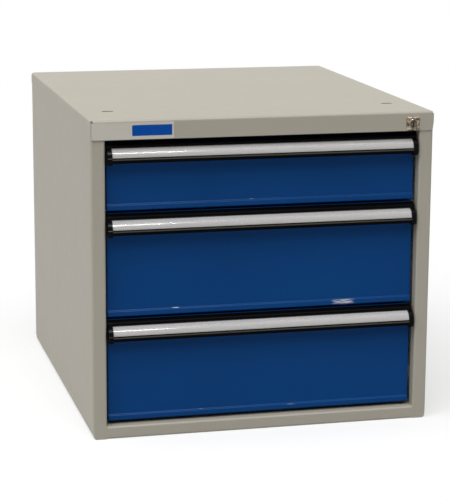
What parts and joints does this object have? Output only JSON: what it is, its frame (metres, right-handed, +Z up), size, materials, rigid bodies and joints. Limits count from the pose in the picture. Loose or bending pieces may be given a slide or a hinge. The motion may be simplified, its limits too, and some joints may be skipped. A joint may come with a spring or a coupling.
{
  "type": "three-drawer cabinet",
  "caption": "Low sheet-metal cabinet with full-extension drawers, full-width grips with label strips, and a cylinder lock that bars every drawer.",
  "frame": {"origin": "bottom centre of the bounding box, on the surface that the cabinet stands on", "axes": "+Z up, -Y towards the user in front of the drawers, +X to the user's right"},
  "size_m": [0.49, 0.5672, 0.45],
  "materials": {
    "casing_paint": "warm light grey powder coat, fine texture, satin",
    "front_paint": "gentian blue powder coat, satin",
    "box_paint": "warm light grey powder coat, satin",
    "zinc": "bright zinc-plated steel",
    "cage_steel": "polished steel balls in a pressed steel cage, lightly greased",
    "grip_black": "black extruded plastic, semi-gloss",
    "label_card": "plain white card",
    "clear_cover": "clear glossy plastic",
    "nickel": "nickel plate, lightly worn",
    "plate": "pale satin plate with a plain blue bar, no text",
    "rubber": "black rubber",
    "nylon": "natural nylon"
  },
  "bodies": {
    "casing": {"casing_wrap": "casing_paint", "bottom_panel": "casing_paint", "back_panel": "casing_paint", "back_screws": "zinc", "upright_front_left": "zinc", "upright_front_right": "zinc", "upright_rear_left": "zinc", "upright_rear_right": "zinc", "slide_screws": "zinc", "slide_buffers": "rubber", "fascia_plate": "plate", "lock_housing": "nickel", "lock_clip": "zinc", "bar_guides": "nylon", "slide_outer_top": "zinc", "slide_outer_middle": "zinc", "slide_outer_bottom": "zinc"},
    "lock_cylinder": {"lock_plug": "nickel", "lock_cam": "zinc", "cam_screw": "zinc"},
    "bar": {"lock_bar": "zinc"},
    "top_drawer": {"drawer_front_top": "front_paint", "drawer_box_top": "box_paint", "drawer_ends_top": "box_paint", "grip_top": "grip_black", "grip_caps_top": "grip_black", "label_strip_top": "label_card", "label_cover_top": "clear_cover", "slide_inner_top": "zinc", "drawer_fasteners_top": "zinc", "catch_stud_top": "zinc"},
    "top_slide": {"slide_middle_top": "zinc"},
    "top_outer_cage": {"outer_cage_top": "cage_steel"},
    "top_inner_cage": {"inner_cage_top": "cage_steel"},
    "middle_drawer": {"drawer_front_middle": "front_paint", "drawer_box_middle": "box_paint", "drawer_ends_middle": "box_paint", "grip_middle": "grip_black", "grip_caps_middle": "grip_black", "label_strip_middle": "label_card", "label_cover_middle": "clear_cover", "slide_inner_middle": "zinc", "drawer_fasteners_middle": "zinc", "catch_stud_middle": "zinc"},
    "middle_slide": {"slide_middle_middle": "zinc"},
    "middle_outer_cage": {"outer_cage_middle": "cage_steel"},
    "middle_inner_cage": {"inner_cage_middle": "cage_steel"},
    "bottom_drawer": {"drawer_front_bottom": "front_paint", "drawer_box_bottom": "box_paint", "drawer_ends_bottom": "box_paint", "grip_bottom": "grip_black", "grip_caps_bottom": "grip_black", "label_strip_bottom": "label_card", "label_cover_bottom": "clear_cover", "slide_inner_bottom": "zinc", "drawer_fasteners_bottom": "zinc", "catch_stud_bottom": "zinc"},
    "bottom_slide": {"slide_middle_bottom": "zinc"},
    "bottom_outer_cage": {"outer_cage_bottom": "cage_steel"},
    "bottom_inner_cage": {"inner_cage_bottom": "cage_steel"}
  },
  "joints": [
    {"name": "top_drawer_pull", "type": "slide", "parent": "casing", "child": "top_drawer", "axis": [0, -1, 0], "range_m": [0, 0.48]},
    {"name": "top_slide_travel", "type": "slide", "parent": "casing", "child": "top_slide", "axis": [0, -1, 0], "range_m": [0, 0.24]},
    {"name": "top_outer_cage_travel", "type": "slide", "parent": "casing", "child": "top_outer_cage", "axis": [0, -1, 0], "range_m": [0, 0.12]},
    {"name": "top_inner_cage_travel", "type": "slide", "parent": "casing", "child": "top_inner_cage", "axis": [0, -1, 0], "range_m": [0, 0.36]},
    {"name": "middle_drawer_pull", "type": "slide", "parent": "casing", "child": "middle_drawer", "axis": [0, -1, 0], "range_m": [0, 0.48]},
    {"name": "middle_slide_travel", "type": "slide", "parent": "casing", "child": "middle_slide", "axis": [0, -1, 0], "range_m": [0, 0.24]},
    {"name": "middle_outer_cage_travel", "type": "slide", "parent": "casing", "child": "middle_outer_cage", "axis": [0, -1, 0], "range_m": [0, 0.12]},
    {"name": "middle_inner_cage_travel", "type": "slide", "parent": "casing", "child": "middle_inner_cage", "axis": [0, -1, 0], "range_m": [0, 0.36]},
    {"name": "bottom_drawer_pull", "type": "slide", "parent": "casing", "child": "bottom_drawer", "axis": [0, -1, 0], "range_m": [0, 0.48]},
    {"name": "bottom_slide_travel", "type": "slide", "parent": "casing", "child": "bottom_slide", "axis": [0, -1, 0], "range_m": [0, 0.24]},
    {"name": "bottom_outer_cage_travel", "type": "slide", "parent": "casing", "child": "bottom_outer_cage", "axis": [0, -1, 0], "range_m": [0, 0.12]},
    {"name": "bottom_inner_cage_travel", "type": "slide", "parent": "casing", "child": "bottom_inner_cage", "axis": [0, -1, 0], "range_m": [0, 0.36]},
    {"name": "lock_turn", "type": "hinge", "parent": "casing", "child": "lock_cylinder", "pos_m": [0.214, -0.2586, 0.433], "axis": [0, 1, 0], "range_deg": [0, 90]},
    {"name": "bar_drop", "type": "slide", "parent": "casing", "child": "bar", "axis": [0, 0, -1], "range_m": [0, 0.00989]}
  ],
  "couplings": [
    {"joint": "top_slide_travel", "follows": "top_drawer_pull", "ratio": 0.5},
    {"joint": "top_outer_cage_travel", "follows": "top_drawer_pull", "ratio": 0.25},
    {"joint": "top_inner_cage_travel", "follows": "top_drawer_pull", "ratio": 0.75},
    {"joint": "middle_slide_travel", "follows": "middle_drawer_pull", "ratio": 0.5},
    {"joint": "middle_outer_cage_travel", "follows": "middle_drawer_pull", "ratio": 0.25},
    {"joint": "middle_inner_cage_travel", "follows": "middle_drawer_pull", "ratio": 0.75},
    {"joint": "bottom_slide_travel", "follows": "bottom_drawer_pull", "ratio": 0.5},
    {"joint": "bottom_outer_cage_travel", "follows": "bottom_drawer_pull", "ratio": 0.25},
    {"joint": "bottom_inner_cage_travel", "follows": "bottom_drawer_pull", "ratio": 0.75},
    {"joint": "lock_turn", "follows": "bar_drop", "rad_per_m": 158.67}
  ]
}
